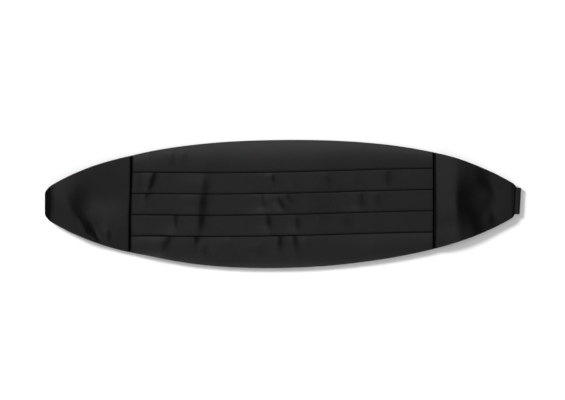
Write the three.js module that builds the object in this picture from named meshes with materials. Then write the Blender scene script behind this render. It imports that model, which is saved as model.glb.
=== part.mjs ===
// A pleated black satin cummerbund, lying face up with its strap fastened beneath it.
//
// Millimetres. +X runs to the right along the garment, +Y towards its top edge and +Z up.
// The origin is on the surface that it lies on, under the middle of the whole garment.
//
// From the surface up: the strap and its hook and eye, the back panel that drapes over them,
// and the satin face, which is a pleated front between two plain tapered ends.

import * as THREE from "three";

// Outline of the satin, from its middle
const HALF_LENGTH = 256.5;
const MIDDLE_HALF = 70;
const TIP_HALF = 17.5;
const BOW_SHARE = 0.7;
const SHOULDER_POWER = 5.5;

// The garment lies a little bent: its right half is nearer the top
const BEND = { from: -32, to: 198, rise: 4, drop: 0.25 };

// Cloth, as a wall, and the gap kept between two pieces or two layers
const CLOTH = 1.0;
const GAP = 0.3;
const LAYER = CLOTH + GAP;

// Pleats of the front: each is a fold edge at the top, with cloth tucked under it
const SEAM_X = 167.5;
const PLEATS = 4;
const PLEAT_PITCH = 23.4;
const PLEAT_TUCK = 12;
const PLEAT_SHIFT = -0.3;
const TURN_STEPS = 3;

// A band bulges on its way up to the tuck: this share of its rise at this share of its width.
// The top band ends in a lower, even bulge.
const BAND_BULGE = { width: 0.45, rise: 0.62 };
const TOP_BULGE = LAYER / 3;

// Plain ends: how far the left one reaches past the right one, over its strap, and the corners
// that are cut off it. Both stand up over the seam and over the strap, each within its reach.
const LEFT_REACH = 5;
const LEFT_CORNER = { length: 6, height: 2 };
const SEAM_STAND = 25;
const STRAP_STAND = { from: 22, to: 6 };

// Strap, which leaves each tip, turns under and runs back to the middle
const STRAP_WIDTH = 30;
const STRAP = 1.2;
const STRAP_SHOWS = 5.5;
const STRAP_TUCKED = 15;

// Hook and eye, flat plates under the sewn ends of the strap
const PLATE = 1.2;
const EYE = { left: -18, right: 2, half: 16, slotLeft: -4.2, slotRight: -0.8, slotHalf: 13.8 };
const HOOK = { left: -3.2, right: 20, half: 13, tongue: 1.2, arch: 1.1, tip: 0.3 };
const STRAP_ON_PLATE = 6;
const STRAP_CLIMB = { from: 28, to: 20 };
const STRAP_TURN_STEPS = 8;
const STRAP_RUN_STEPS = 14;

// Drape of the cloth over the strap: level over it, down to the surface further out
const DRAPE = { level: 16, down: 52 };
const CLASP_LEVEL = { near: 28, far: 66 };

// Spacing of the sections along X, and the columns across each plain panel
const FRONT_SECTIONS = 24;
const END_SECTIONS = 8;
const END_COLUMNS = 10;
const BACK_COLUMNS = 12;
const BACK_INSET = 1;

// Largest soft folds of the face: where each is, how far it reaches along itself and across,
// how far it turns from upright, and how high it stands
const FOLDS = [
  { x: -90, y: -14, along: 46, across: 13, turn: 7, height: 1.6 },
  { x: 4, y: -46, along: 26, across: 15, turn: -6, height: 1.3 },
  { x: -199, y: -28, along: 26, across: 13, turn: -30, height: 2.2 },
  { x: 186, y: 2, along: 34, across: 12, turn: 4, height: 2.4 },
  { x: 228, y: -6, along: 20, across: 10, turn: 20, height: 1.4 },
];

// A ramp from 0 to 1 with level ends
function ramp(value, from, to) {
  const t = THREE.MathUtils.clamp((value - from) / (to - from), 0, 1);
  return t * t * (3 - 2 * t);
}

// Half the garment's height at x: a shallow bow, with a shoulder that falls faster at the tips
function halfHeight(x) {
  const u = Math.abs(x) / HALF_LENGTH;
  const fall = BOW_SHARE * u ** 2 + (1 - BOW_SHARE) * u ** SHOULDER_POWER;
  return MIDDLE_HALF - (MIDDLE_HALF - TIP_HALF) * fall;
}

// The garment's own middle line, in y
function midline(x) {
  return BEND.rise * ramp(x, BEND.from, BEND.to) - BEND.drop;
}

// How far the cloth at (x, y) stands off the surface, carried by the strap and the clasp
function drape(x, y) {
  const clasp = (PLATE + GAP) * (1 - ramp(Math.abs(x), CLASP_LEVEL.near, CLASP_LEVEL.far));
  const carried = STRAP + GAP + clasp;
  return carried * (1 - ramp(Math.abs(y - midline(x)), DRAPE.level, DRAPE.down));
}

// How far the soft folds lift the face at (x, y)
function foldHeight(x, y) {
  let height = 0;
  for (const fold of FOLDS) {
    const turn = THREE.MathUtils.degToRad(fold.turn);
    const dx = x - fold.x;
    const dy = y - fold.y;
    const across = (dx * Math.cos(turn) - dy * Math.sin(turn)) / fold.across;
    const along = (dx * Math.sin(turn) + dy * Math.cos(turn)) / fold.along;
    height += fold.height * Math.exp(-(across ** 2) - along ** 4);
  }
  return height;
}

// The underside of the lowest layer of the face at (x, y)
function faceFloor(x, y) {
  return drape(x, y) + LAYER + foldHeight(x, y);
}

// Numbers from first to last in equal steps
function evenly(first, last, steps) {
  return Array.from({ length: steps + 1 }, (_, i) => first + ((last - first) * i) / steps);
}

// A closed wall between two grids of points. Rows run along +X and columns along the cloth
// from its lower edge to its upper edge, so that the upper grid is the face.
function wall(upper, lower) {
  const rows = upper.length;
  const columns = upper[0].length;
  const positions = [...upper.flat(), ...lower.flat()].flatMap((p) => p.toArray());
  const top = (r, c) => r * columns + c;
  const under = (r, c) => rows * columns + top(r, c);
  const triangles = [];
  const quad = (a, b, c, d) => triangles.push(a, b, c, a, c, d);
  for (let r = 0; r < rows - 1; r++) {
    for (let c = 0; c < columns - 1; c++) {
      quad(top(r, c), top(r + 1, c), top(r + 1, c + 1), top(r, c + 1));
      quad(under(r, c), under(r, c + 1), under(r + 1, c + 1), under(r + 1, c));
    }
    quad(top(r, 0), under(r, 0), under(r + 1, 0), top(r + 1, 0));
    const last = columns - 1;
    quad(top(r, last), top(r + 1, last), under(r + 1, last), under(r, last));
  }
  for (let c = 0; c < columns - 1; c++) {
    quad(top(0, c), top(0, c + 1), under(0, c + 1), under(0, c));
    const last = rows - 1;
    quad(top(last, c), under(last, c), under(last, c + 1), top(last, c + 1));
  }
  const geometry = new THREE.BufferGeometry();
  geometry.setAttribute("position", new THREE.Float32BufferAttribute(positions, 3));
  geometry.setIndex(triangles);
  geometry.computeVertexNormals();
  return geometry;
}

// Half a turn of cloth in the section: centre, start angle and sense of turning
function turn(y, z, startDegrees, sense) {
  return evenly(0, 180, TURN_STEPS).map((degrees) => {
    const angle = THREE.MathUtils.degToRad(startDegrees + sense * degrees);
    const radius = LAYER / 2;
    const point = { y: y + radius * Math.cos(angle), z: z + radius * Math.sin(angle) };
    const out = sense > 0 ? -1 : 1;
    return { ...point, ny: out * Math.cos(angle), nz: out * Math.sin(angle) };
  });
}

// A point on a stretch of cloth that lies nearly level, face up
function level(y, z) {
  return { y, z, ny: 0, nz: 1 };
}

// The section of the pleated front at x: the middle of the cloth, as one folded line from its
// lower edge up to its upper edge. z counts from the lowest layer. At each fold edge the cloth
// turns under, runs down for the tuck, turns again and goes on up as the next band.
function pleatSection(x) {
  const half = halfHeight(x);
  const nose = (LAYER + CLOTH) / 2;
  const topLayer = 2 * LAYER;
  const points = [level(-half, 0)];
  let bandStart = -half;
  for (let i = 0; i < PLEATS; i++) {
    const edge = PLEAT_SHIFT + PLEAT_PITCH * (i - (PLEATS - 1) / 2);
    const tuck = edge - PLEAT_TUCK;
    const climb = tuck - bandStart;
    points.push(level(bandStart + BAND_BULGE.width * climb, BAND_BULGE.rise * topLayer));
    points.push(level(tuck, topLayer));
    points.push(...turn(edge - nose, 1.5 * LAYER, 90, -1));
    points.push(...turn(tuck + nose, 0.5 * LAYER, 90, 1));
    points.push(level(edge + GAP, 0));
    bandStart = edge + GAP;
  }
  points.push(level((bandStart + half) / 2, TOP_BULGE));
  points.push(level(half, 0));
  return points;
}

// How much of each corner is cut off the left tip at x
function cornerCut(x) {
  const into = -HALF_LENGTH - LEFT_REACH + LEFT_CORNER.length - x;
  return (LEFT_CORNER.height * Math.max(0, into)) / LEFT_CORNER.length;
}

// The pleated front: one cloth in four pleats that open upwards
function pleatedFront() {
  const reach = SEAM_X - GAP / 2;
  const grid = (side) =>
    evenly(-reach, reach, FRONT_SECTIONS).map((x) =>
      pleatSection(x).map((p) => {
        const y = midline(x) + p.y + (side * p.ny * CLOTH) / 2;
        const z = p.z + CLOTH / 2 + (side * p.nz * CLOTH) / 2;
        return new THREE.Vector3(x, y, faceFloor(x, y) + z);
      }),
    );
  return wall(grid(1), grid(-1));
}

// A plain end of the face, from its seam to its tip: side is -1 for the left and 1 for the right.
// It stands up a little at the seam, where it is sewn to the pleats, and over the strap's end.
function endPanel(side) {
  const stations = evenly(SEAM_X + GAP / 2, HALF_LENGTH, END_SECTIONS).map((x) => side * x);
  if (side < 0) stations.push(-HALF_LENGTH - LEFT_REACH);
  stations.sort((a, b) => a - b);
  const grid = (thickness) =>
    stations.map((x) =>
      evenly(-1, 1, END_COLUMNS).map((share) => {
        const y = midline(x) + share * (halfHeight(x) - cornerCut(x));
        const out = Math.abs(x);
        const overSeam = LAYER * (1 - ramp(out, SEAM_X, SEAM_X + SEAM_STAND));
        const strapStart = HALF_LENGTH - STRAP_TUCKED;
        const climb = ramp(out, strapStart - STRAP_STAND.from, strapStart - STRAP_STAND.to);
        const overStrap = (STRAP + GAP) * climb;
        return new THREE.Vector3(x, y, faceFloor(x, y) + overSeam + overStrap + thickness);
      }),
    );
  return wall(grid(CLOTH), grid(0));
}

// The back panel: the whole outline in one cloth, draped over the strap
function backPanel() {
  const reach = SEAM_X - GAP / 2;
  const front = evenly(-reach, reach, FRONT_SECTIONS);
  const right = evenly(SEAM_X + GAP / 2, HALF_LENGTH - BACK_INSET, END_SECTIONS);
  const left = right.map((x) => -x).reverse();
  const grid = (thickness) =>
    [...left, ...front, ...right].map((x) =>
      evenly(-1, 1, BACK_COLUMNS).map((share) => {
        const y = midline(x) + share * (halfHeight(x) - BACK_INSET);
        return new THREE.Vector3(x, y, drape(x, y) + thickness);
      }),
    );
  return wall(grid(CLOTH), grid(0));
}

// One strap, as a flat band along a route of (x, z) in its own middle. The route starts inside
// the tip, goes out, turns under, runs back along the surface and climbs on to its plate.
function strap(side, plateStart) {
  const upper = STRAP + GAP + LAYER + STRAP / 2;
  const lower = STRAP / 2;
  const radius = (upper - lower) / 2;
  const turnX = HALF_LENGTH + STRAP_SHOWS - radius - STRAP / 2;
  const route = [
    { x: HALF_LENGTH - STRAP_TUCKED, z: upper, nx: 0, nz: 1 },
    { x: (HALF_LENGTH - STRAP_TUCKED + turnX) / 2, z: upper, nx: 0, nz: 1 },
  ];
  for (const degrees of evenly(90, -90, STRAP_TURN_STEPS)) {
    const angle = THREE.MathUtils.degToRad(degrees);
    const nx = Math.cos(angle);
    const nz = Math.sin(angle);
    route.push({ x: turnX + radius * nx, z: lower + radius + radius * nz, nx, nz });
  }
  for (const x of evenly(turnX, STRAP_CLIMB.from, STRAP_RUN_STEPS).slice(1)) {
    route.push({ x, z: lower, nx: 0, nz: -1 });
  }
  const onPlate = PLATE + GAP + lower;
  route.push({ x: STRAP_CLIMB.to, z: onPlate, nx: 0, nz: -1 });
  route.push({ x: plateStart, z: onPlate, nx: 0, nz: -1 });
  const grid = (sense) =>
    route.map((p) =>
      evenly(-1, 1, 1).map((share) => {
        const x = side * (p.x + (sense * p.nx * STRAP) / 2);
        const y = midline(side * p.x) - (side * share * STRAP_WIDTH) / 2;
        return new THREE.Vector3(x, y, p.z + (sense * p.nz * STRAP) / 2);
      }),
    );
  return wall(grid(-1), grid(1));
}

// A rectangle as a closed shape or hole
function rectangle(Kind, left, right, half) {
  const outline = new Kind();
  outline.moveTo(left, -half);
  outline.lineTo(right, -half);
  outline.lineTo(right, half);
  outline.lineTo(left, half);
  outline.closePath();
  return outline;
}

// The eye: a flat plate with a slot
function claspEye() {
  const shape = rectangle(THREE.Shape, EYE.left, EYE.right, EYE.half);
  shape.holes.push(rectangle(THREE.Path, EYE.slotLeft, EYE.slotRight, EYE.slotHalf));
  return new THREE.ExtrudeGeometry(shape, { depth: PLATE, bevelEnabled: false });
}

// The hook: one strip of metal, with a tongue that arches over the eye's bar into its slot
function claspHook() {
  const archUnder = PLATE + GAP;
  const archTop = archUnder + HOOK.arch;
  const root = EYE.right + GAP;
  const outline = [
    [HOOK.right, 0],
    [HOOK.right, PLATE],
    [root + 2 * HOOK.arch, PLATE],
    [root + HOOK.arch, archTop],
    [HOOK.left, archTop],
    [HOOK.left, HOOK.tip],
    [HOOK.left + HOOK.tongue, HOOK.tip],
    [HOOK.left + HOOK.tongue, archUnder],
    [root, archUnder],
    [root, 0],
  ];
  const shape = new THREE.Shape(outline.map(([x, z]) => new THREE.Vector2(x, z)));
  const geometry = new THREE.ExtrudeGeometry(shape, { depth: 2 * HOOK.half, bevelEnabled: false });
  geometry.rotateX(Math.PI / 2);
  geometry.translate(0, HOOK.half, 0);
  return geometry;
}

function satin() {
  return new THREE.MeshStandardMaterial({ color: 0x1c1c1d, roughness: 0.38, metalness: 0 });
}

function backCloth() {
  return new THREE.MeshStandardMaterial({ color: 0x161617, roughness: 0.7, metalness: 0 });
}

function elasticWebbing() {
  return new THREE.MeshStandardMaterial({ color: 0x222224, roughness: 0.85, metalness: 0 });
}

function blackenedSteel() {
  return new THREE.MeshStandardMaterial({ color: 0x2a2a2c, roughness: 0.35, metalness: 0.9 });
}

// A named mesh, standing at a height y of its own
function piece(name, geometry, material, y = 0) {
  const mesh = new THREE.Mesh(geometry, material);
  mesh.name = name;
  mesh.position.y = y;
  return mesh;
}

const cummerbund = new THREE.Group();
cummerbund.add(
  piece("back_panel", backPanel(), backCloth()),
  piece("pleated_front", pleatedFront(), satin()),
  piece("end_panel_left", endPanel(-1), satin()),
  piece("end_panel_right", endPanel(1), satin()),
  piece("strap_left", strap(-1, STRAP_ON_PLATE), elasticWebbing()),
  piece("strap_right", strap(1, STRAP_ON_PLATE), elasticWebbing()),
  piece("clasp_eye", claspEye(), blackenedSteel(), midline(0)),
  piece("clasp_hook", claspHook(), blackenedSteel(), midline(0)),
);

export default cummerbund;
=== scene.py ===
# %% [markdown]
# # A pleated black satin cummerbund, laid flat
#
# A cummerbund is a wide sash worn round the waist with evening dress. This one lies face up on a
# white table with its elastic strap fastened beneath it. The satin face is sewn from three
# cuts: a front folded into four pleats that open upwards, and a plain tapered end on each side.
#
# We start from the solid model of the garment. It gives the true place and size of every piece,
# so the main sizes below are read from its boxes.

# %% Load the solid model
import math

import bpy
import numpy as np
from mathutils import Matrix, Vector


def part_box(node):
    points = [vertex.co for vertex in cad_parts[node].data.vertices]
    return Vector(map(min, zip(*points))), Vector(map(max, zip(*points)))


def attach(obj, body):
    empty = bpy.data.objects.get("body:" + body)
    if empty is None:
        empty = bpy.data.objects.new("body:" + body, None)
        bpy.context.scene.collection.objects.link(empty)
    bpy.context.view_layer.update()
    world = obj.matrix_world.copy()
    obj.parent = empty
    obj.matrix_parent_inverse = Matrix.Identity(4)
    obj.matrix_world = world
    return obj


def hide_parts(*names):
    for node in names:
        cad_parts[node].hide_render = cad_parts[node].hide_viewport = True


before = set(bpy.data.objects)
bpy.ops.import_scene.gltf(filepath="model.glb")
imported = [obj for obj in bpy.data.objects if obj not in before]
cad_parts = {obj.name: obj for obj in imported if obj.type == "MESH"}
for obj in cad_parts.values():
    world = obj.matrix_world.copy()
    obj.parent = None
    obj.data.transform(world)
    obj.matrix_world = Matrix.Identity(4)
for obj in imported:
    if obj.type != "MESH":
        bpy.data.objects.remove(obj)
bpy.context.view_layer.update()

print("solid pieces:", ", ".join(sorted(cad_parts)))

# %% [markdown]
# ## Sizes
#
# A tailor works in millimetres, and so does this script until a mesh is made. The right tip of
# the satin, the place of the two seams and the height of the middle come from the solids. In
# the middle the satin swells a little past the solid's wall.

# %% Sizes of the garment, in millimetres
MM = 0.001
SWELL = 0.3


def node_box(node):
    """The lowest and highest corners of one solid, in millimetres."""
    low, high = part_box(node)
    return np.array(low) / MM, np.array(high) / MM


front_low, front_high = node_box("pleated_front")
end_low, end_high = node_box("end_panel_right")
SEAM_X = (front_high[0] + end_low[0]) / 2
HALF_LENGTH = end_high[0]
MIDDLE_HALF = (front_high[1] - front_low[1]) / 2 + SWELL
print(f"right tip at {HALF_LENGTH:.1f} mm, seams at +-{SEAM_X:.1f} mm")
print(f"the middle is {2 * MIDDLE_HALF:.1f} mm tall")

# %% [markdown]
# ## The outline
#
# The outline is one formula: half the height falls from the middle to the tips, mostly as a
# parabola, with a shoulder that drops faster near the tips. The garment also lies a little bent,
# with its right half nearer the top, so every height is measured from its own middle line. A
# drawn curve would do as well, but a formula can be asked for its height at any station.

# %% The outline
LEFT_TIP_HALF, RIGHT_TIP_HALF = 18.9, 16.8
BOW_SHARE = 0.7
SHOULDER_POWER = 5.5
BEND_FROM, BEND_TO = -32, 198
BEND_RISE, BEND_DROP = 4, 0.25
EDGE_DRAW_COLUMNS = ("x", "reach", "wider", "shift")
EDGE_DRAWS = [
    (-240, 45, 0.0, 0.45),
    (-148, 24, -0.5, 0.5),
    (-72, 50, 0.55, -0.3),
    (190, 20, 0.3, 0.3),
    (258, 26, 0.4, -0.45),
]


def ramp(value, start, end):
    """0 before start, 1 after end, and between them the smooth S of 3t^2 - 2t^3."""
    t = np.clip((value - start) / (end - start), 0, 1)
    return t * t * (3 - 2 * t)


def drawn(x, column):
    """The sum of the edge draws: each is a low bell round its x, of its own reach. "wider" adds
    to the half height and "shift" moves the middle line, where the cloth isn't laid quite even."""
    total = 0.0 * x
    for draw in EDGE_DRAWS:
        d = dict(zip(EDGE_DRAW_COLUMNS, draw))
        total = total + d[column] * np.exp(-(((x - d["x"]) / d["reach"]) ** 2))
    return total


def half_height(x):
    """Middle half height, less a fall that is 70% u^2 and 30% u^5.5, u being |x| / length. The
    edge draws are added to it."""
    u = np.abs(x) / HALF_LENGTH
    fall = BOW_SHARE * u**2 + (1 - BOW_SHARE) * u**SHOULDER_POWER
    tip = np.where(x < 0, LEFT_TIP_HALF, RIGHT_TIP_HALF)
    return MIDDLE_HALF - (MIDDLE_HALF - tip) * fall + drawn(x, "wider")


def middle_line(x):
    """The y of the garment's own middle: one smooth rise from left to right, less a constant
    drop, and the shifts of the edge draws."""
    return BEND_RISE * ramp(x, BEND_FROM, BEND_TO) - BEND_DROP + drawn(x, "shift")


shown_at = np.array([-HALF_LENGTH, -SEAM_X, 0, SEAM_X, HALF_LENGTH])
print("half heights from tip to tip, mm:", half_height(shown_at).round(1))

# %% [markdown]
# ## What the cloth lies on
#
# Under the garment lies its own strap, and under the middle of it the clasp. The cloth bridges
# them in a low arch. A cloth simulation could drape it, but a stiffened waistband holds a plain
# shallow curve, and as a formula every layer can share it.

# %% The arch over the strap and the clasp
STRAP = 1.2
STRAP_ROOM = 0.35
CLASP_RISE = 1.5
CLASP_NEAR, CLASP_FAR = 28, 80


def arch(x, y):
    """How high the strap and the clasp carry the cloth: a shallow parabola across the garment,
    higher round the clasp, that comes down to the table at the middle's two edges."""
    clasp = CLASP_RISE * (1 - ramp(np.abs(x), CLASP_NEAR, CLASP_FAR))
    across = np.abs(y - middle_line(x)) / MIDDLE_HALF
    return (STRAP + STRAP_ROOM + clasp) * np.clip(1 - across**2, 0, 1)


print(f"the arch is {float(arch(np.array(0.0), middle_line(np.array(0.0)))):.2f} mm high")

# %% [markdown]
# ## From a grid of points to cloth
#
# Every cloth here is a surface over a grid: rows run along the garment and columns run across
# it, following the cloth itself from its lower edge to its upper edge. The second grid holds the
# flat pattern of the same points, which becomes the UV map, so that the weave follows the cloth
# round its folds. A Solidify modifier then gives the surface its thickness.

# %% Mesh and cloth helpers
def grid_mesh(name, points, pattern, crush_and_shade):
    """A mesh over a grid: points is rows x columns x 3 and pattern rows x columns x 2, in mm.
    Each cell is one quad, and the faces look up where rows run right and columns run up.
    The last argument is 1 where the gloss is lowered and 0 elsewhere: crushed floats at stitches, and
    painted shade in seams, crevices and on the ends."""
    rows, columns = points.shape[:2]
    index = np.arange(rows * columns).reshape(rows, columns)
    quads = np.stack([index[:-1, :-1], index[1:, :-1], index[1:, 1:], index[:-1, 1:]], axis=-1)
    quads = quads.reshape(-1, 4)
    mesh = bpy.data.meshes.new(name)
    mesh.from_pydata((points.reshape(-1, 3) * MM).tolist(), [], quads.tolist())
    layer = mesh.uv_layers.new(name="pattern")
    layer.data.foreach_set("uv", (pattern.reshape(-1, 2)[quads.ravel()] * MM).ravel())
    # The attribute that lowers the satin's gloss: crushed floats and painted shade.
    crush_and_shade_layer = mesh.attributes.new("crush_and_shade", "FLOAT", "POINT")
    crush_and_shade_layer.data.foreach_set("value", np.broadcast_to(crush_and_shade, points.shape[:2]).ravel())
    mesh.polygons.foreach_set("use_smooth", np.ones(len(quads), bool))
    mesh.update()
    return mesh


def pattern_of(points):
    """The flat pattern of a grid: x stays, and v is the length of cloth walked up each row's
    column, measured from the middle line so that the threads run level."""
    steps = np.linalg.norm(np.diff(points, axis=1), axis=2)
    walked = np.concatenate([np.zeros((len(points), 1)), np.cumsum(steps, axis=1)], axis=1)
    walked -= walked[:, -1:] / 2
    return np.stack([points[..., 0], walked], axis=-1)


def cloth(name, points, thickness, material, nodes, crush_and_shade=0.0):
    """One piece of cloth from its grid: thickened half each way, given its finish, and put on
    the garment's body in place of the solids it stands for."""
    piece = bpy.data.objects.new(name, grid_mesh(name, points, pattern_of(points), crush_and_shade))
    bpy.context.scene.collection.objects.link(piece)
    solidify = piece.modifiers.new("thickness", "SOLIDIFY")
    solidify.thickness = thickness * MM
    solidify.offset = 0
    solidify.use_even_offset = True
    piece.data.materials.append(material)
    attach(piece, "root")
    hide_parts(*nodes)
    print(f"{name}: {points.shape[0]} x {points.shape[1]} points")
    return piece


def strip_area(points):
    """The area of a grid surface in square metres, as the sum of its cells' cross products."""
    along = points[1:, :-1] - points[:-1, :-1]
    across = points[:-1, 1:] - points[:-1, :-1]
    return np.linalg.norm(np.cross(along, across), axis=2).sum() * MM * MM


square = np.array([[[0, 0, 0], [0, 10, 0]], [[10, 0, 0], [10, 10, 0]]])
print(f"a flat 10 mm square has {strip_area(square):.4f} square metres")

# %% [markdown]
# ## Finishes
#
# Black satin is a very dark cloth with long floating threads on its face. The floats make its
# gloss streak across them, so the shader is anisotropic, with its tangent taken from the
# pattern. The weave itself is a brick pattern of floats, each a little further along than the
# one below, used only as a very small bump and a very small change of colour. A woven mesh
# would need millions of faces and show no more than this.
#
# Each finish is a few nodes in front of one Principled shader, so we first make a helper that
# adds a node and fills its inputs in one line.

# %% Material helpers
PER_METRE = 1000


def new_material(name):
    """A material, a function that adds a node to it and one that fills in its shader. Both take
    a dictionary of inputs: a plain value is set, and another node's output is linked."""
    material = bpy.data.materials.new(name)
    material.use_nodes = True
    tree = material.node_tree

    def fill(target, inputs):
        for key, value in inputs.items():
            if isinstance(value, bpy.types.NodeSocket):
                tree.links.new(value, target.inputs[key])
            else:
                target.inputs[key].default_value = value
        return target

    def node(kind, inputs, **settings):
        made = tree.nodes.new(kind)
        for key, value in settings.items():
            setattr(made, key, value)
        return fill(made, inputs)

    def shader(inputs):
        fill(tree.nodes["Principled BSDF"], inputs)

    return material, node, shader


def pattern_in_mm(node):
    """The pattern's UV map, scaled back to millimetres."""
    uv = node("ShaderNodeUVMap", {}, uv_map="pattern").outputs["UV"]
    scale = (PER_METRE, PER_METRE, PER_METRE)
    return node("ShaderNodeMapping", {"Vector": uv, "Scale": scale}).outputs["Vector"]


def threads_of(node):
    """The direction of the pattern's threads, which turns the streaks of gloss."""
    return node("ShaderNodeTangent", {}, direction_type="UV_MAP", uv_map="pattern").outputs["Tangent"]


# %% [markdown]
# The satin's gloss is also lowered in places, which paints shade: in the seams, where stitches
# also crush the floats, in the crevice above each fold edge, and on the ends. An attribute of the
# mesh says where, and lowers the shader's specular level there.

# %% The satin
def satin_finish():
    """Black satin: almost no colour of its own, a soft gloss, and floats as a fine bump."""
    material, node, shader = new_material("black_satin")
    place = pattern_in_mm(node)
    floats = node(
        "ShaderNodeTexBrick",
        {
            "Vector": place,
            "Scale": 1.0,
            "Mortar Size": 0.03,
            "Mortar Smooth": 1.0,
            "Brick Width": 1.1,
            "Row Height": 0.22,
            "Color1": (1, 1, 1, 1),
            "Color2": (1, 1, 1, 1),
            "Mortar": (0, 0, 0, 1),
        },
        offset=0.4,
        offset_frequency=2,
    )
    slubs = node("ShaderNodeTexNoise", {"Vector": place, "Scale": 0.06, "Detail": 2.0})
    bump = node(
        "ShaderNodeBump",
        {"Height": floats.outputs["Color"], "Strength": 0.35, "Distance": 0.00001},
    )
    gloss = node(
        "ShaderNodeMapRange",
        {"Value": slubs.outputs["Fac"], "To Min": 0.29, "To Max": 0.33},
    )
    tint = node(
        "ShaderNodeMix",
        {
            "Factor": floats.outputs["Fac"],
            "A": (0.0022, 0.0022, 0.0024, 1),
            "B": (0.0015, 0.0015, 0.0016, 1),
        },
        data_type="RGBA",
    )
    # Painted shade: where the attribute is 1 the specular level falls from 0.48 to 0.05.
    crush_and_shade = node("ShaderNodeAttribute", {}, attribute_name="crush_and_shade")
    shine = node(
        "ShaderNodeMapRange",
        {"Value": crush_and_shade.outputs["Fac"], "To Min": 0.48, "To Max": 0.05},
    )
    shader({
        "Base Color": tint.outputs["Result"],
        "Roughness": gloss.outputs["Result"],
        "Normal": bump.outputs["Normal"],
        "Tangent": threads_of(node),
        "Anisotropic": 0.8,
        "Anisotropic Rotation": 0.25,
        "Specular IOR Level": shine.outputs["Result"],
    })
    return material


satin = satin_finish()
print("face finish:", satin.name)

# %% [markdown]
# The back is a plain twill, whose diagonal ribs are a wave pattern. The elastic's ribs are real
# shapes on its mesh, so only the knit between them is a wave. The clasp's enamel is smooth, and
# rubbed a little brighter in patches, which a noise pattern gives. All three are mostly hidden,
# so a simple pattern is enough for each.

# %% The back cloth, the elastic and the clasp
def twill_finish():
    """The back's dull black cloth: diagonal ribs of twill as a bump on a rough dark colour."""
    material, node, shader = new_material("black_twill")
    ribs = node(
        "ShaderNodeTexWave",
        {"Vector": pattern_in_mm(node), "Scale": 0.45, "Distortion": 0.4, "Detail": 1.0},
        bands_direction="DIAGONAL",
    ).outputs["Fac"]
    bump = node("ShaderNodeBump", {"Height": ribs, "Strength": 0.6, "Distance": 0.00005})
    tint = node("ShaderNodeMapRange", {"Value": ribs, "To Min": 0.006, "To Max": 0.012})
    shader({
        "Base Color": tint.outputs["Result"],
        "Normal": bump.outputs["Normal"],
        "Roughness": 0.75,
    })
    return material


def elastic_finish():
    """Black elastic webbing: its ribs are real, and the knit between them is a bump."""
    material, node, shader = new_material("black_elastic")
    knit = node(
        "ShaderNodeTexWave",
        {"Vector": pattern_in_mm(node), "Scale": 0.55, "Distortion": 0.6, "Detail": 1.0},
        bands_direction="X",
    ).outputs["Fac"]
    bump = node("ShaderNodeBump", {"Height": knit, "Strength": 0.5, "Distance": 0.00006})
    tint = node("ShaderNodeMapRange", {"Value": knit, "To Min": 0.002, "To Max": 0.004})
    shader({
        "Base Color": tint.outputs["Result"],
        "Normal": bump.outputs["Normal"],
        "Tangent": threads_of(node),
        "Roughness": 0.42,
        "Anisotropic": 0.6,
        "Anisotropic Rotation": 0.25,
    })
    return material


def clasp_finish():
    """Black enamelled steel, rubbed a little brighter in patches."""
    material, node, shader = new_material("black_enamel")
    place = node("ShaderNodeTexCoord", {}).outputs["Object"]
    wear = node(
        "ShaderNodeTexNoise",
        {"Vector": place, "Scale": 300.0, "Detail": 4.0},
    ).outputs["Fac"]
    rough = node("ShaderNodeMapRange", {"Value": wear, "To Min": 0.25, "To Max": 0.5})
    tint = node(
        "ShaderNodeMapRange",
        {"Value": wear, "From Min": 0.4, "From Max": 0.8, "To Min": 0.015, "To Max": 0.05},
    )
    shader({
        "Base Color": tint.outputs["Result"],
        "Roughness": rough.outputs["Result"],
        "Metallic": 0.6,
    })
    return material


twill = twill_finish()
elastic = elastic_finish()
enamel = clasp_finish()
print("other finishes:", twill.name, elastic.name, enamel.name)

# %% [markdown]
# ## Creases
#
# The satin isn't ironed flat. Each crease is a soft ridge or trough, listed by where its
# middle is, how far it runs, how wide its left and right sides are, how far it leans from
# upright, and how high it stands. A steep side with a gentle side opposite shows as one streak.
# A cloth simulation would crease the satin too, but not with these creases in these places.

# %% Creases, in millimetres and degrees
CREASE_COLUMNS = ("x", "y", "run", "left", "right", "lean", "rise")
STACK_CREASES = [
    (-95, -11, 50, 26, 9, 8, 1.5),
    (-150, 20, 15, 18, 6, 20, 1.25),
]
LOWEST_FACE_CREASES = [
    (-99.5, -38, 12, 9, 5, 0, 0.7),
    (-134, -43, 20, 20, 8, 31, 2.0),
    (-89, -51, 7, 8, 5, 0, 0.7),
    (-59.5, -42, 8, 9, 4.5, 0, 0.6),
    (-28, -50, 6, 8, 4, 0, 0.5),
    (-6.5, -39, 14, 9, 7, 4, 1.45),
    (10, -40, 15, 6, 6, -14, 1.15),
    (25, -42, 6, 8, 4, 0, 0.3),
    (99.5, -51, 8, 10, 5, 0, 0.3),
]
LOWER_PLEAT_CREASES = [
    (-94, -17, 10, 16, 7, 18, 0.5),
    (-121, -17, 14, 14, 5, 0, 1.4),
    (-152, -20, 8, 9, 5, 0, 0.4),
    (-19, -19, 10, 9, 5, -14, 1.05),
    (13, -21, 10, 9, 5, 0, 0.85),
    (67, -20, 8, 14, 7, 0, 0.45),
    (40, -18, 8, 12, 6, 0, 0.2),
]
MIDDLE_PLEAT_CREASES = [
    (-155, 8, 12, 16, 6, 18, 0.7),
    (-102, 3, 11, 14, 12, 0, 0.9),
    (-91, 2, 9, 20, 9, 0, 0.2),
    (-25.5, 5, 14, 16, 5.5, -11, 1.2),
    (-15, 1, 9, 12, 5, 0, 1.0),
    (-6, 4, 13, 6, 5, -28, 1.4),
    (3, 8, 8, 5, 4, -42, 0.9),
    (81.5, 5, 14, 18, 9, 0, 1.2),
    (101, 6, 9, 10, 6, 0, 0.5),
]
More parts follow.
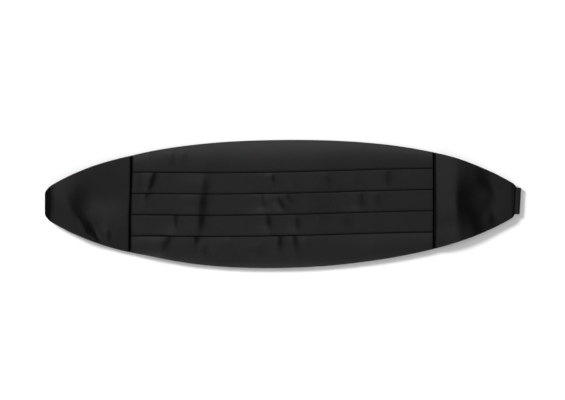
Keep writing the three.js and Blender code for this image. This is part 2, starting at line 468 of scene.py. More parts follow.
UPPER_PLEAT_CREASES = [
    (-146, 31, 14, 18, 6, 24, 0.8),
    (-91, 21, 9, 22, 8, 0, 0.6),
    (-13, 29, 6, 9, 4, 0, 0.8),
    (47.5, 28, 8, 10, 5, 0, 0.35),
    (78.5, 24, 7, 10, 5, 0, 0.4),
    (111.5, 31, 12, 14, 7, 0, 0.8),
]
TOP_FACE_CREASES = [
    (-123.5, 53, 12, 6, 4.5, 0, 0.8),
    (-109, 56, 9, 5, 4, 0, 0.6),
]
FRONT_CREASES = [LOWEST_FACE_CREASES, LOWER_PLEAT_CREASES, MIDDLE_PLEAT_CREASES,
                 UPPER_PLEAT_CREASES, TOP_FACE_CREASES]
LEFT_CREASES = [
    (-247, 4, 32, 12, 31, 8, 3.2),
    (-203, 8, 22, 25, 30, 8, -2.6),
    (-240, 0, 12, 12, 9, -10, 0.35),
    (-235, -12, 12, 12, 9, -30, 0.8),
    (-219.5, -33, 22, 16, 9.5, -28, 2.6),
    (-200, -32, 14, 12, 10, -30, -1.0),
    (-206, -39, 9, 8, 4, -33, 1.1),
    (-195, -34, 10, 7, 5, -8, 1.7),
]
RIGHT_CREASES = [
    (187, 3, 58, 22, 24, 0, 2.8),
    (190.5, 8, 26, 24, 9, 0, 0.55),
    (188.5, -8, 16, 26, 10, -4, 0.8),
    (235, 14, 24, 24, 22, -26, -2.2),
    (215, 24, 14, 14, 7, -16, 0.5),
    (227.5, 10, 12, 14, 8, -30, 1.1),
    (206, -21, 17, 20, 7, -25, 0.9),
    (189, -24, 16, 20, 10, 0, 0.6),
    (208, -18, 15, 28, 20, 0, 1.3),
    (227.5, -17, 7, 8, 5, 0, 0.4),
    (175, -20, 8, 12, 4.5, 0, 0.35),
]


def crease_height(x, y, creases):
    """The sum of the creases at (x, y). Each is its rise times a bell exp(-a^2) across it, with
    its own width on each side, times another bell along its run."""
    total = np.zeros(np.broadcast(x, y).shape)
    for crease in creases:
        c = dict(zip(CREASE_COLUMNS, crease))
        lean = math.radians(c["lean"])
        across = (x - c["x"]) * math.cos(lean) - (y - c["y"]) * math.sin(lean)
        along = (x - c["x"]) * math.sin(lean) + (y - c["y"]) * math.cos(lean)
        width = np.where(across < 0, c["left"], c["right"])
        total += c["rise"] * np.exp(-((across / width) ** 2) - (along / c["run"]) ** 2)
    return total


print("creases:", [len(face) for face in (*FRONT_CREASES, LEFT_CREASES, RIGHT_CREASES)])

# %% [markdown]
# ## The pleated front
#
# The front is one length of satin, folded in a zigzag: up the face of a pleat, over its fold
# edge, down behind it for the tuck, and up again as the next pleat. Pressed pleats lie like
# shingles, each a straight tilted plane over the one above. We could stack separate strips, but
# one folded sheet has real fold edges and real depth where it is seen from the side.
#
# Its sections are computed as whole arrays: every column of the grid has its own rule for y and
# for its height, and the rule is applied to all stations along the garment at once. Heights are
# measured above the arch. First come the pleats' own sizes.

# %% The pleats' sizes
PLEATS = 4
PITCH = 23.4
TUCK = 12
PLEAT_SHIFT = -0.7
FOLD_EDGES = PLEAT_SHIFT + PITCH * (np.arange(PLEATS) - (PLEATS - 1) / 2)
SATIN = 0.4
LAYER = 0.55
FOLD_RADIUS = LAYER / 2
SLOPE = 2 * LAYER / PITCH
LOFT = 2.0
STACK_TOP = LOFT + 2 * LAYER
print("fold edges, mm from the middle line:", FOLD_EDGES.round(1))

# %% [markdown]
# ### The long edges
#
# The satin's long edges are folded under and pressed, and the back panel lies inside them. Each
# is an upright wall of cloth and a tight quarter circle into the face. A bevel could round them,
# but as columns of the same grid the weave runs on over the fold.

# %% The pressed edges
RIM = 0.3
EDGE_RADIUS = 0.45
WALL_STEPS, TURN_STEPS = 3, 6


def spaced(start, end, steps):
    """Equal steps from start to end, without the two ends."""
    return np.linspace(start, end, steps + 1)[1:-1]


def edge_fold(half, level, side):
    """The pressed fold along an edge: a wall up from the rim and a quarter circle into the
    face. Columns run from the rim inwards; side is -1 for the lower edge, 1 for the upper."""
    share = np.linspace(0, 1, WALL_STEPS + 1)[None, :-1] + 0 * half
    wall = RIM + (level - EDGE_RADIUS - RIM) * share
    turn = np.linspace(0, math.pi / 2, TURN_STEPS + 1)[None, :]
    inwards = np.concatenate([0 * wall, EDGE_RADIUS * (1 - np.cos(turn)) + 0 * half], axis=1)
    z = np.concatenate([wall, level - EDGE_RADIUS * (1 - np.sin(turn)) + 0 * half], axis=1)
    return side * (half - inwards), z


print(f"edge folds of radius {EDGE_RADIUS} mm, {RIM} mm above the arch")

# %% [markdown]
# ### The faces, the fold edges and the tucks
#
# A crease can lift a face where it is free, but not where the next pleat holds it down. So each
# part of the section also says which face it creases with, and how freely: 0 is held, 1 is free.

# %% The parts of a section
LOWER_EDGE = 3.6
LOWER_CURL, CURL_RUN = 0.8, 5
LOWEST_CROWN = 0.35
FULL_BAND = 33
TOP_CROWN, TOP_CROWN_POWER = 3.04, 2.5
UNDER_FOLD = 0.2
FACE_STARTS = (UNDER_FOLD, 0.5, 1.0, 2.0)
CREASE_KEPT, CREASE_START, CREASE_FADE = 0.45, 0.3, 8
TOP_FACE_STARTS = (0.006, 0.015, 0.03)
TOP_HELD, TOP_FREE = 0.01, 0.16
LOWEST_STEPS, FACE_STEPS, TOP_STEPS = 18, 9, 16
OVER_COLUMNS, FOOT_COLUMNS = 9, 5
DOWN_STEPS, UP_STEPS = 3, 4


def lowest_face(half):
    """From the lower edge up to the first fold edge: a straight rise, a curl 1 - exp(-s) just
    inside the edge, and a low crown 1 - (2s - 1)^2. Its columns crowd towards both ends."""
    share = np.sin(spaced(0, 1, LOWEST_STEPS) * math.pi / 2)[None, :] ** 2
    start = EDGE_RADIUS - half
    width = FOLD_EDGES[0] - 2 * FOLD_RADIUS - start
    curl = LOWER_CURL * (1 - np.exp(-share * width / CURL_RUN))
    rise = (STACK_TOP - LOWER_EDGE - LOWER_CURL) * share
    crown = LOWEST_CROWN * width / FULL_BAND * (1 - (2 * share - 1) ** 2)
    return start + width * share, LOWER_EDGE + curl + rise + crown, 0, 1


def fold_and_tuck(number, edge):
    """A pleat's fold edge (half an ellipse), its tuck's way down one layer below the top, the
    turn at its foot (half a circle) and the way up, two layers below the top, to just past the
    fold edge."""
    over = np.linspace(math.pi / 2, -math.pi / 2, OVER_COLUMNS)
    foot = np.linspace(math.pi / 2, 3 * math.pi / 2, FOOT_COLUMNS)
    foot_y = edge - TUCK + FOLD_RADIUS
    foot_z = STACK_TOP - 1.5 * LAYER - SLOPE * (TUCK - FOLD_RADIUS)
    down = spaced(edge - 2 * FOLD_RADIUS, foot_y, DOWN_STEPS)
    up = spaced(foot_y, edge + UNDER_FOLD, UP_STEPS)
    return [
        (edge - 2 * FOLD_RADIUS * (1 - np.cos(over)),
         STACK_TOP - FOLD_RADIUS * (1 - np.sin(over)), number, 1),
        (down, STACK_TOP - LAYER + SLOPE * (down - edge), number, 1),
        (foot_y + FOLD_RADIUS * np.cos(foot), foot_z + FOLD_RADIUS * np.sin(foot), number,
         np.linspace(1, 0, FOOT_COLUMNS)),
        (up, LOFT + SLOPE * (up - edge), number, 0),
    ]


def pleat_face(number, edge):
    """The straight tilted face above a fold edge. Near that edge its creases are part held."""
    plain = spaced(FACE_STARTS[-1], PITCH - 2 * FOLD_RADIUS, FACE_STEPS)
    out = np.concatenate([FACE_STARTS, plain])
    freedom = CREASE_KEPT + (1 - CREASE_KEPT) * ramp(out, CREASE_START, CREASE_FADE)
    return edge + out, LOFT + SLOPE * out, number, freedom


def top_face(half, level):
    """From the last fold edge to the upper edge: a straight fall and a crown s - s^2.5."""
    edge = FOLD_EDGES[-1]
    width = half - EDGE_RADIUS - edge
    share = np.concatenate([TOP_FACE_STARTS, spaced(TOP_FACE_STARTS[-1], 1, TOP_STEPS)])
    crown = TOP_CROWN * width / FULL_BAND * (share - share**TOP_CROWN_POWER)
    freedom = ramp(share, TOP_HELD, TOP_FREE)
    return edge + width * share, LOFT + (level - LOFT) * share + crown, PLEATS, freedom


print(f"the stack of pleats is {STACK_TOP:.1f} mm high, the lower edge {LOWER_EDGE} mm")

# %% [markdown]
# ### The whole section
#
# Now the parts are joined in the order in which the cloth runs. The upper edge is flatter over
# the middle than towards the ends.

# %% The section from the lower edge to the upper edge
UPPER_EDGE_MIDDLE, UPPER_EDGE_SIDES = 1.3, 2.1
UPPER_EDGE_FROM, UPPER_EDGE_TO = 60, 160


def front_section(x):
    """The folded line of the front at each station x: y from the middle line and z above the
    arch, both stations x columns. Also, for each column, the number of the face that it creases
    with, and how freely."""
    half = half_height(x)[:, None]
    outwards = ramp(np.abs(x), UPPER_EDGE_FROM, UPPER_EDGE_TO)[:, None]
    level = UPPER_EDGE_MIDDLE + (UPPER_EDGE_SIDES - UPPER_EDGE_MIDDLE) * outwards
    parts = [(*edge_fold(half, LOWER_EDGE, -1), 0, 1), lowest_face(half)]
    for number, edge in enumerate(FOLD_EDGES):
        parts += fold_and_tuck(number, edge)
        if number < PLEATS - 1:
            parts.append(pleat_face(number + 1, edge))
    parts.append(top_face(half, level))
    upper_y, upper_z = edge_fold(half, level, 1)
    parts.append((upper_y[:, ::-1], upper_z[:, ::-1], PLEATS, 1))
    y, z, numbers, freedoms = zip(*parts)
    y = [part + 0 * half for part in y]
    z = [part + 0 * half for part in z]
    columns = [part.shape[1] for part in y]
    faces = [np.full(count, number) for count, number in zip(columns, numbers)]
    free = [freedom + np.zeros(count) for count, freedom in zip(columns, freedoms)]
    return (np.concatenate(y, axis=1), np.concatenate(z, axis=1), np.concatenate(faces),
            np.concatenate(free))


print("columns of the front's section:", front_section(shown_at[1:2])[0].shape[1])

# %% [markdown]
# ### The seams at both ends of the front
#
# At an upright seam the stitches pull the whole stack of cloth down into a narrow valley. The
# stations stand close together there, so that the valley has a round shoulder. Two bells give
# its shape: a narrow one at the stitches, and a broad one for the soft cloth behind them. The
# left seam isn't quite upright, and the cloth beside it leans with it.

# %% Stations and the dip at a seam
SEAM_GAP = 0.1
SEAM_STEPS = (0.0, 0.05, 0.12, 0.2, 0.3, 0.45, 0.65, 0.9, 1.2, 1.6, 2.2)
STATION_SPACING = 1.5
SEAM_SWAY, SWAY_REACH = 1.7, 20
SWAY_FROM, SWAY_TO = -20, 48


def stations(reach, fine, spacing):
    """Stations from -reach to reach: close together near both ends, then evenly spaced."""
    inner = reach - fine[-1]
    middle = np.linspace(-inner, inner, int(round(2 * inner / spacing)) + 1)
    near = np.array(fine[:-1])
    return np.concatenate([-reach + near, middle, reach - near[::-1]])


def groove(out, near, far, soft):
    """How deep the cloth dips into its seam, from 1 in the seam to 0: a sharp shoulder near
    the stitches (a bell of width near) and behind it a share of soft bend (of width far)."""
    return (1 - soft) * np.exp(-((out / near) ** 2)) + soft * np.exp(-((out / far) ** 2))


def seam_sway(x, y):
    """How far the left seam and the cloth beside it lean to the right towards the upper edge."""
    beside = np.exp(-(((x + SEAM_X) / SWAY_REACH) ** 2))
    return SEAM_SWAY * ramp(y, SWAY_FROM, SWAY_TO) * beside


front_stations = stations(SEAM_X - SEAM_GAP, SEAM_STEPS, STATION_SPACING)
print("stations along the front:", len(front_stations))

# %% [markdown]
# ### The front as one sheet
#
# The section follows the outline and the bent middle line. The pleats drift a little upwards to
# the right. Then the seams press the stack down, and the creases lift it. The gloss is lowered
# in the crevice above each fold edge as painted shade, and in the seams as painted shade and for
# the floats that the stitches crush.

# %% Make the front
PLEAT_DRIFT, DRIFT_POWER = 1.0, 6
DRIFT_FROM, DRIFT_TO = -120, 140
# CREVICE and CREVICE_START size the painted shade above each fold edge.
CREVICE, CREVICE_START = 1.3, -0.4
SEAM_DEPTH = 1.3
DIP_LEFT, DIP_RIGHT = 0.55, 0.8
DIP_FAR, DIP_SOFT = 3.0, 0.06
# How far the seams' gloss is lowered: crushed floats and painted shade.
SEAM_CRUSH_SHADE = 1.2
CREASE_FROM_SEAM = 14


def front_points(x):
    """The front as a grid over the stations x, and how far its gloss is lowered: painted shade in the
    crevices and the seams, where stitches also crush the floats.
    """
    y, z, faces, free = front_section(x)
    # Painted shade: a narrow band of lowered gloss just above each fold edge.
    crevice = np.zeros(y.shape)
    for edge in FOLD_EDGES:
        above = y - edge
        crevice += np.where(above > CREVICE_START, np.exp(-((above / CREVICE) ** 2)), 0)
    share = np.abs(y) / half_height(x)[:, None]
    x = np.broadcast_to(x[:, None], y.shape)
    drift = PLEAT_DRIFT * ramp(x, DRIFT_FROM, DRIFT_TO) * (1 - share**DRIFT_POWER)
    y = y + middle_line(x) + drift
    to_seam = SEAM_X - SEAM_GAP - np.abs(x)
    dip = groove(to_seam, np.where(x < 0, DIP_LEFT, DIP_RIGHT), DIP_FAR, DIP_SOFT)
    z = RIM + (z - RIM) * (1 - SEAM_DEPTH / (STACK_TOP - RIM) * dip)
    # Painted shade in the crevices and the seams; in the seams stitches also crush the floats.
    crush_and_shade = np.maximum(crevice, np.exp(-((to_seam / SEAM_CRUSH_SHADE) ** 2)))
    creased = np.zeros(y.shape)
    for face, creases in enumerate(FRONT_CREASES):
        creased += np.where(faces == face, crease_height(x, y, creases), 0)
    creased = creased * free + crease_height(x, y, STACK_CREASES)
    z = z + arch(x, y) + creased * ramp(to_seam, 0, CREASE_FROM_SEAM)
    return np.stack([x + seam_sway(x, y), y, z], axis=-1), crush_and_shade


front_grid, front_crush_and_shade = front_points(front_stations)
front = cloth("satin_front", front_grid, SATIN, satin, ["pleated_front"], front_crush_and_shade)

# %% [markdown]
# ## The plain ends
#
# Each end is one flat cut that narrows to the strap. Sewn to the pleats it dips into the seam,
# then rises, sags or swells a little in its creases, and climbs over the strap at its tip. Its
# long edges are the same pressed folds as the front's. A loft between two outlines would give
# the shape, but on a grid every column keeps its share of the height, so the weave narrows with
# the cut and the creases can be added to the same heights.
#
# First comes the plan: where each point of the end lies.

# %% The plan of an end
END_SEAM_STEPS = (0.1, 0.2, 0.35, 0.55, 0.8, 1.1, 1.5, 2.0, 2.6, 3.4)
ALONG_STEPS, ACROSS_STEPS = 66, 60
TIP_STATIONS = 11
CORNER_CUT = 0.7
FOLD_LEVEL = 2
SLANT_POWER = 3


def end_stations(side, reach, tip_roll):
    """Distances from the seam, close together beside it and where the tip turns down, and how
    far each has turned down: 0 on the face, 1 at the rim. They are ordered along x."""
    turn = np.linspace(0, math.pi / 2, TIP_STATIONS)
    tip = reach - tip_roll * (1 - np.sin(turn))
    plain = spaced(END_SEAM_STEPS[-1], tip[0], ALONG_STEPS)
    out = np.concatenate([END_SEAM_STEPS, plain, tip])
    turned = np.concatenate([np.zeros(len(out) - TIP_STATIONS), 1 - np.cos(turn)])
    order = np.argsort(side * out)
    return out[order], turned[order]


def end_plan(side, out, reach, corner, slant):
    """x and y of every point, and how far down the long edges' fold it is: 0 on the face, 1 at
    the rim. A corner is cut by a quarter of an ellipse, and a slanted tip moves x by a share of
    y that grows with the cube of the distance from the seam."""
    x = side * (SEAM_X + out)
    near_tip = np.clip((out - reach + corner) / corner, 0, 1)
    cut = corner * (1 - np.sqrt(1 - near_tip**2)) * CORNER_CUT
    half = (half_height(x) - cut)[:, None]
    low, low_z = edge_fold(half, 0 * half + FOLD_LEVEL, -1)
    face = low[:, -1:] * (1 - 2 * spaced(0, 1, ACROSS_STEPS)[None, :])
    y = np.concatenate([low, face, -low[:, ::-1]], axis=1)
    fold = np.concatenate([low_z, FOLD_LEVEL + 0 * face, low_z[:, ::-1]], axis=1)
    x = x[:, None] + slant * y * (out[:, None] / reach) ** SLANT_POWER
    return x, y, (FOLD_LEVEL - fold) / (FOLD_LEVEL - RIM)


end_count = len(END_SEAM_STEPS) + ALONG_STEPS - 1 + TIP_STATIONS
print("stations along an end:", end_count)

# %% [markdown]
# Next come the heights. The cloth stands level between the seam and the strap, and rises to its
# own height at the tip. Its rim comes down to the arch, apart from the stretch over the strap,
# where it rests on the webbing. The gloss is lowered beside the seam, for crushed floats and as
# painted shade, and a little everywhere as painted shade.

# %% The heights of an end
END_LEVEL = 3.4
SEAM_DIP, END_DIP_SOFT = 1.6, 0.2
RISE_FROM_SEAM = 2
# Painted shade: the gloss is lowered by this share all over both ends.
END_PAINTED_SHADE = 0.17
STRAP_TOP = node_box("strap_right")[1][2]
STRAP_WIDTH = 29.5
STRAP_INSIDE = 15
STRAP_LEAD, STRAP_STEADY = 14, 6
STRAP_MARGIN, MARGIN_RUN = 1.4, 1.2
OVER_STRAP = 0.3


def end_points(side, tip_x, tip_level, tip_roll, corner, slant, creases, held, near, far, seam_crush_and_shade_width):
    """One end as a grid, and how far its gloss is lowered, which is mostly painted shade. side is -1
    or 1; tip_x is where it stops, tip_level how high it is there, tip_roll how softly it turns
    down, corner how much its corners are cut and slant how much its cut leans; held is how much
    the strap flattens the creases there; near and far are the widths of its dip at the seam, and
    the last argument how far from the seam the gloss is lowered, for crushed floats and painted
    shade."""
    reach = tip_x - SEAM_X
    out, turned = end_stations(side, reach, tip_roll)
    x, across, wall = end_plan(side, out, reach, corner, slant)
    y = across + middle_line(x)
    out = np.abs(x) - SEAM_X
    ground = arch(x, y)
    over_strap = ramp(out, reach - STRAP_INSIDE - STRAP_LEAD, reach - STRAP_STEADY)
    level = END_LEVEL + (tip_level - ground - END_LEVEL) * over_strap
    freedom = ramp(out, 0, RISE_FROM_SEAM) * (1 - held * over_strap)
    level = level + crease_height(x, y, creases) * freedom
    level = level - SEAM_DIP * groove(out - SEAM_GAP, near, far, END_DIP_SOFT)
    beside_strap = ramp(STRAP_WIDTH / 2 + STRAP_MARGIN - np.abs(across), 0, MARGIN_RUN)
    on_strap = beside_strap * ramp(out, reach - STRAP_INSIDE, reach)
    rim = RIM + (STRAP_TOP + OVER_STRAP - ground - RIM) * on_strap
    z = level - (level - rim) * wall
    z = z - (z - rim) * turned[:, None]
    # Painted shade: the gloss is lowered a little all over, and more beside the seam, where the
    # stitches also crush the floats.
    crush_and_shade = np.maximum(END_PAINTED_SHADE, np.exp(-((out / seam_crush_and_shade_width) ** 2)))
    return np.stack([x + seam_sway(x, y), y, ground + z], axis=-1), crush_and_shade


def add_painted_shade(crush_and_shade, grid, amount, start, end):
    """The same lowered gloss, and at least a given amount of painted shade further out: a ramp that
    begins at |x| = start and is whole at end."""
    return np.maximum(crush_and_shade, amount * ramp(np.abs(grid[..., 0]), start, end))


print(f"the ends stand {END_LEVEL} mm over the arch, the strap's top is at {STRAP_TOP:.1f} mm")

# %% [markdown]
# The two ends differ. The left one runs out over the turn of its strap, has cut corners and a
# band of painted shade at its tip. The right one stops short of its strap's loop, has a slightly
# slanted tip, and has painted shade that grows towards it.

# %% Make the two ends
LEFT_TIP = 261.6
# Where the band of painted shade at the left tip begins and where it is whole.
LEFT_BAND_START, LEFT_BAND_END = LEFT_TIP - 8, LEFT_TIP - 5.5
RIGHT_SLANT = 0.06
# Painted shade on the right end: a share that grows from x = 222 to 240 mm, and a stronger band just
# before the tip.
RIGHT_SHADE, RIGHT_SHADE_START, RIGHT_SHADE_END = 0.36, 222, 240
RIGHT_BAND = 0.6
RIGHT_BAND_START, RIGHT_BAND_END = HALF_LENGTH - 6, HALF_LENGTH - 3

left_grid, left_crush_and_shade = end_points(
    side=-1, tip_x=LEFT_TIP, tip_level=5.2, tip_roll=1.5, corner=8.0, slant=0.0,
    creases=LEFT_CREASES, held=0.0, near=1.0, far=3.5, seam_crush_and_shade_width=2.2,
)
# Painted shade: the left tip's band loses all its gloss.
left_crush_and_shade = add_painted_shade(left_crush_and_shade, left_grid, 1, LEFT_BAND_START, LEFT_BAND_END)
left_end = cloth(
    "satin_end_left", left_grid, SATIN, satin, ["end_panel_left"], left_crush_and_shade
)

right_grid, right_crush_and_shade = end_points(
    side=1, tip_x=HALF_LENGTH, tip_level=4.9, tip_roll=3.0, corner=3.5, slant=RIGHT_SLANT,
    creases=RIGHT_CREASES, held=0.7, near=0.6, far=4.0, seam_crush_and_shade_width=1.3,
)
# Painted shade growing towards the right tip, then a stronger band just before it.
right_crush_and_shade = add_painted_shade(
    right_crush_and_shade, right_grid, RIGHT_SHADE, RIGHT_SHADE_START, RIGHT_SHADE_END
)
right_crush_and_shade = add_painted_shade(
    right_crush_and_shade, right_grid, RIGHT_BAND, RIGHT_BAND_START, RIGHT_BAND_END
)
right_end = cloth(
    "satin_end_right", right_grid, SATIN, satin, ["end_panel_right"], right_crush_and_shade
)

# %% [markdown]
# ## The back
#
# The back is one spindle of dull cloth under everything. It only shows from underneath, inside
# the satin's pressed edges, so it is a plain arched sheet a little inside the outline. It lies
# against the table and the strap, and is left smooth.

# %% The back panel
BACK = 0.5
BACK_INSET = 1.1
BACK_LIFT = 0.02
BACK_STATIONS, BACK_COLUMNS = 171, 41


def back_points():
    """The back as a grid of stations and shares of the height, lying on the arch. The shares
    are the sine of equal steps, so they crowd towards the two long edges."""
    reach = HALF_LENGTH - BACK_INSET
    x = np.linspace(-reach, reach, BACK_STATIONS)[:, None]
    share = np.sin(np.linspace(-1, 1, BACK_COLUMNS) * math.pi / 2)[None, :]
    y = middle_line(x) + (half_height(x) - BACK_INSET) * share
    x = np.broadcast_to(x, y.shape)
    return np.stack([x, y, arch(x, y) + BACK / 2 + BACK_LIFT], axis=-1)


back_grid = back_points()
back = cloth("back_cloth", back_grid, BACK, twill, ["back_panel"])

# %% [markdown]
# ## The elastic strap
#
# The strap is ribbed webbing. It leaves each tip, turns under and runs back along the table to
# the hook and eye. Here a profile is carried along a path: the profile is the webbing's
# thickness across its width, with its ribs, and the path is the route in x and z. A curve
# object with a bevel could carry it too, but this way both faces stay grids, with a flat
# pattern for the knit.

# %% The route of the strap
PLATE_TOP = node_box("clasp_eye")[1][2]
STRAP_ON_PLATE = 6
OVER_PLATE = 0.3
PLATE_STEP_FROM, PLATE_STEP_TO = 20, 28
DROOP_BEFORE_TIP, DROOP_PAST_TURN = 2.5, 1
INSIDE_STEPS, TURN_ROWS, UNDER_STEPS = 28, 22, 130


def strap_route(side, reach, droop):
    """The route of one half as x and z: out of the tip, round the turn, back along the table
    and up on to its plate. reach is its outermost x; droop lowers the stretch that shows."""
    upper = STRAP_TOP - STRAP / 2
    low = STRAP / 2
    radius = (upper - droop - low) / 2
    turn_x = reach - radius - STRAP / 2
    inside = np.linspace(HALF_LENGTH - STRAP_INSIDE, turn_x, INSIDE_STEPS)
    lowered = ramp(inside, HALF_LENGTH - DROOP_BEFORE_TIP, turn_x + DROOP_PAST_TURN)
    angles = np.linspace(math.pi / 2, -math.pi / 2, TURN_ROWS)[1:]
    under = np.linspace(turn_x, STRAP_ON_PLATE, UNDER_STEPS)[1:]
    lifted = 1 - ramp(under, PLATE_STEP_FROM, PLATE_STEP_TO)
    x = np.concatenate([inside, turn_x + radius * np.cos(angles), under])
    z = np.concatenate([
        upper - droop * lowered,
        low + radius + radius * np.sin(angles),
        low + (PLATE_TOP + OVER_PLATE) * lifted,
    ])
    return side * x, z


print(f"the strap lies {PLATE_TOP + OVER_PLATE:.1f} mm up on its plate")

# %% [markdown]
# Each rib of the profile is one wave of a cosine, and the selvedges are rounded. The outer and
# the inner face are two grids, and strips of quads close the four borders between them.

# %% Make the two halves of the strap
RIBS = 22
RIB_DEPTH = 0.07
RIB_STEPS = 6
SELVEDGE_FROM, SELVEDGE = 0.48, 0.021
SLANT_RUN = 40


def strap_points(side, reach, droop, slant):
    """The outer and inner faces of one half of the strap, as two grids, rows along the route.
    slant is how much its turn leans with the cut of the end."""
    x, z = strap_route(side, reach, droop)
    dx, dz = np.gradient(x), np.gradient(z)
    length = np.hypot(dx, dz)
    normal_x, normal_z = side * -dz / length, side * dx / length
    across = np.linspace(-0.5, 0.5, RIBS * RIB_STEPS + 1)
    selvedge = np.clip((np.abs(across) - SELVEDGE_FROM) / SELVEDGE, 0, 1)
    ribs = RIB_DEPTH * 0.5 * (np.cos(across * 2 * math.pi * RIBS) - 1)
    thick = ((STRAP / 2 + ribs) * np.sqrt(1 - selvedge**2))[None, :]
    y = middle_line(x)[:, None] + STRAP_WIDTH * across[None, :]
    leaning = slant * y * ramp(np.abs(x), reach - SLANT_RUN, reach)[:, None]
    faces = []
    for sense in (1, -1):
        face_x = x[:, None] + leaning + sense * thick * normal_x[:, None]
        face_z = z[:, None] + sense * thick * normal_z[:, None]
        faces.append(np.stack([face_x, y, face_z], axis=-1))
    return faces


def two_faced_mesh(name, upper, lower):
    """A closed mesh between two grids of the same shape: both faces and a strip of quads along
    each of the four borders."""
    rows, columns = upper.shape[:2]
    top = np.arange(rows * columns).reshape(rows, columns)
    low = top + rows * columns
    cells = [
        np.stack([top[:-1, :-1], top[1:, :-1], top[1:, 1:], top[:-1, 1:]], axis=-1),
        np.stack([low[:-1, :-1], low[:-1, 1:], low[1:, 1:], low[1:, :-1]], axis=-1),
        np.stack([top[:-1, 0], low[:-1, 0], low[1:, 0], top[1:, 0]], axis=-1),
        np.stack([top[:-1, -1], top[1:, -1], low[1:, -1], low[:-1, -1]], axis=-1),
        np.stack([top[0, :-1], top[0, 1:], low[0, 1:], low[0, :-1]], axis=-1),
        np.stack([top[-1, :-1], low[-1, :-1], low[-1, 1:], top[-1, 1:]], axis=-1),
    ]
    quads = np.concatenate([c.reshape(-1, 4) for c in cells])
    points = np.concatenate([upper.reshape(-1, 3), lower.reshape(-1, 3)])
    flat = np.concatenate([pattern_of(upper).reshape(-1, 2), pattern_of(lower).reshape(-1, 2)])
    mesh = bpy.data.meshes.new(name)
    mesh.from_pydata((points * MM).tolist(), [], quads.tolist())
    layer = mesh.uv_layers.new(name="pattern")
    layer.data.foreach_set("uv", (flat[quads.ravel()] * MM).ravel())
    mesh.polygons.foreach_set("use_smooth", np.ones(len(quads), bool))
    mesh.update()
    return mesh


def strap_half(name, side, reach, droop, slant, node):
    """One half of the strap as a finished piece, and the length of its webbing."""
    outer, inner = strap_points(side, reach, droop, slant)
    if side < 0:
        outer, inner = outer[::-1], inner[::-1]
    piece = bpy.data.objects.new(name, two_faced_mesh(name, outer, inner))
    bpy.context.scene.collection.objects.link(piece)
    piece.data.materials.append(elastic)
    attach(piece, "root")
    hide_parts(node)
    x, z = strap_route(side, reach, droop)
    length = np.hypot(np.diff(x), np.diff(z)).sum()
    print(f"{name}: {length:.0f} mm of webbing")
    return piece, length


LEFT_REACH = LEFT_TIP - 0.8
RIGHT_REACH = node_box("strap_right")[1][0] + 0.4
left_strap, left_length = strap_half(
    "elastic_left", side=-1, reach=LEFT_REACH, droop=0.7, slant=0.0, node="strap_left"
)
right_strap, right_length = strap_half(
    "elastic_right", side=1, reach=RIGHT_REACH, droop=0.0, slant=RIGHT_SLANT, node="strap_right"
)

# %% [markdown]
# ## The hook and eye
#
# The plates of the solid model already have their true shape, so they stay and only get the
# black enamel finish.

# %% The hook and eye
for plate in ("clasp_eye", "clasp_hook"):
    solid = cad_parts[plate]
    solid.data.materials.clear()
    solid.data.materials.append(enamel)
    print(f"{plate}: finished in {enamel.name}")

# %% [markdown]
# ## The front's cut
#
# The pleated front is far taller before it is folded: every pleat hides twice the depth of its tuck.

# %% [markdown]
# ## The table
#
# The garment lies on a plain white table, which is one large square just under it. Far round it
# stands a low pale wall, so that a view at eye level ends in something pale. The wall is too low
# to shade the garment, and the satin doesn't reflect it.

# %% The table and the low wall
TABLE_HALF = 6.0
TABLE_Z = -0.0001
WALL_RADIUS, WALL_HEIGHT = 5.5, 0.6
WALL_PIECES = 96


def white_finish():
    """A plain matt white for what stands round the garment."""
    material, _, shader = new_material("white_table")
    shader({"Base Color": (0.8, 0.8, 0.8, 1), "Roughness": 1.0, "Specular IOR Level": 0.0})
    return material


def staged(name, points, faces, material):
    """An object that is only a stage for the garment, from its points in metres."""
    mesh = bpy.data.meshes.new(name)
    mesh.from_pydata(points, [], faces)
    made = bpy.data.objects.new(name, mesh)
    bpy.context.scene.collection.objects.link(made)
    made.data.materials.append(material)
    return made


def table_corners():
    """The four corners of the table, counter-clockwise from above."""
    turns = ((-1, -1), (1, -1), (1, 1), (-1, 1))
    return [(x * TABLE_HALF, y * TABLE_HALF, TABLE_Z) for x, y in turns]


def wall_ring():
    """The wall as a ring of straight pieces that faces inwards: its points and its quads."""
    turn = np.linspace(0, 2 * math.pi, WALL_PIECES + 1)[:-1]
    ring = np.stack([WALL_RADIUS * np.cos(turn), WALL_RADIUS * np.sin(turn)], axis=-1)
    foot = np.concatenate([ring, np.full((WALL_PIECES, 1), TABLE_Z)], axis=1)
    here = np.arange(WALL_PIECES)
    after = np.roll(here, -1)
    quads = np.stack([here, here + WALL_PIECES, after + WALL_PIECES, after], axis=-1)
    return np.concatenate([foot, foot + (0, 0, WALL_HEIGHT)]).tolist(), quads.tolist()


white = white_finish()
staged("table", table_corners(), [(0, 1, 2, 3)], white)
low_wall = staged("low_wall", *wall_ring(), white)
low_wall.visible_glossy = False
print(f"a table {2 * TABLE_HALF:.0f} m wide, a wall {WALL_HEIGHT} m high")

# %% [markdown]
# ## The light
#
# One broad low sun from the upper left whitens the table and throws the soft shadow to the lower
# right, and a weaker one from below the lower edge fills it. The satin doesn't reflect either of
# them, so its gloss comes from the panels alone. Seen from above, flat satin reflects a very dim
# panel overhead, and stays nearly black. Cloth that tips towards the upper or the lower edge
# reflects the brighter panels there, which is what draws the pleats and the creases. Two weak
# panels at the sides do the same for a viewer who stands low.

# %% The suns and the panels
SIDE_DISTANCE = 4.5


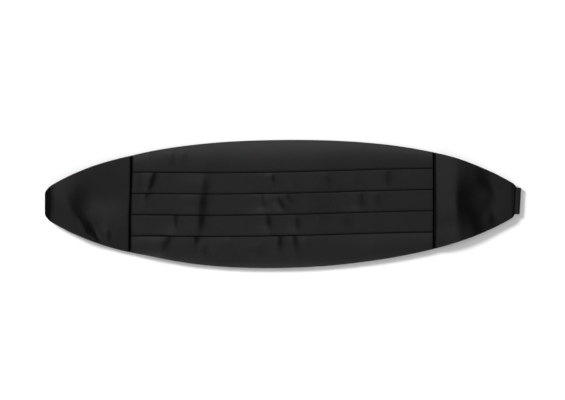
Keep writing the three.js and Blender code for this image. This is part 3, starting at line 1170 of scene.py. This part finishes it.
def sun(name, azimuth, elevation, strength, spread):
    """A distant light. Azimuth is the side that it comes from, counter-clockwise from +X."""
    light = bpy.data.lights.new(name, "SUN")
    light.energy = strength
    light.angle = math.radians(spread)
    lamp = bpy.data.objects.new(name, light)
    lamp.rotation_euler = (0, math.radians(90 - elevation), math.radians(azimuth))
    lamp.visible_glossy = False
    bpy.context.scene.collection.objects.link(lamp)


def panel(name, place, size, radiance):
    """A flat panel light that faces down; its power is pi x area x radiance."""
    light = bpy.data.lights.new(name, "AREA")
    light.shape = "RECTANGLE"
    light.size, light.size_y = size
    light.energy = math.pi * size[0] * size[1] * radiance
    lamp = bpy.data.objects.new(name, light)
    lamp.location = place
    bpy.context.scene.collection.objects.link(lamp)
    return lamp


def side_panel(name, azimuth, elevation, size, radiance):
    """A panel light that stands at the side, SIDE_DISTANCE away, and faces the garment."""
    tilt, turn = math.radians(90 - elevation), math.radians(azimuth)
    outwards = (math.sin(tilt) * math.cos(turn), math.sin(tilt) * math.sin(turn), math.cos(tilt))
    lamp = panel(name, [SIDE_DISTANCE * part for part in outwards], size, radiance)
    lamp.rotation_euler = (0, tilt, turn)


sun("key_light", azimuth=142, elevation=23, strength=7.3, spread=20)
sun("fill_light", azimuth=270, elevation=22, strength=2.3, spread=22)
panel("overhead_panel", place=(-0.9, -0.45, 6), size=(4.8, 4.5), radiance=0.06)
panel("upper_panel", place=(-0.9, 3.3, 6), size=(4.8, 3.0), radiance=2.25)
side_panel("near_panel", azimuth=135, elevation=27, size=(2.0, 3.6), radiance=0.3)
side_panel("far_panel", azimuth=315, elevation=18, size=(2.0, 3.6), radiance=0.12)
panel("lower_panel", place=(-0.9, -4.55, 6), size=(4.8, 2.2), radiance=3.2)
print("lights:", ", ".join(sorted(light.name for light in bpy.data.lights)))

# %% [markdown]
# ## The world
#
# The world is a faint even white, so that no shadow is wholly black. A filmic view transform
# would turn the bright table grey, so the plain one is used.

# %% The world
WORLD_STRENGTH = 0.03
world = bpy.data.worlds.new("studio")
world.use_nodes = True
background = world.node_tree.nodes["Background"]
background.inputs["Color"].default_value = (1, 1, 1, 1)
background.inputs["Strength"].default_value = WORLD_STRENGTH
bpy.context.scene.world = world
bpy.context.scene.view_settings.view_transform = "Standard"
print(f"world strength {WORLD_STRENGTH}")

# %% [markdown]
# ## The camera
#
# The camera looks straight down with a long lens. The view is a little wider than the garment,
# with the garment just below the middle of the frame. The height follows from the lens: the
# view's width is to the distance as the sensor's width is to the focal length.

# %% The camera
LENS, SENSOR = 200.0, 36.0
VIEW_WIDTH = 622.8
VIEW_CENTRE = (0.2, 4.3)
WIDTH_LEVEL = 3
camera_data = bpy.data.cameras.new("camera")
camera_data.lens = LENS
camera_data.sensor_width = SENSOR
camera = bpy.data.objects.new("camera", camera_data)
height = VIEW_WIDTH * LENS / SENSOR + WIDTH_LEVEL
camera.location = (VIEW_CENTRE[0] * MM, VIEW_CENTRE[1] * MM, height * MM)
bpy.context.scene.collection.objects.link(camera)
bpy.context.scene.camera = camera
print(f"camera {height:.0f} mm above the table")
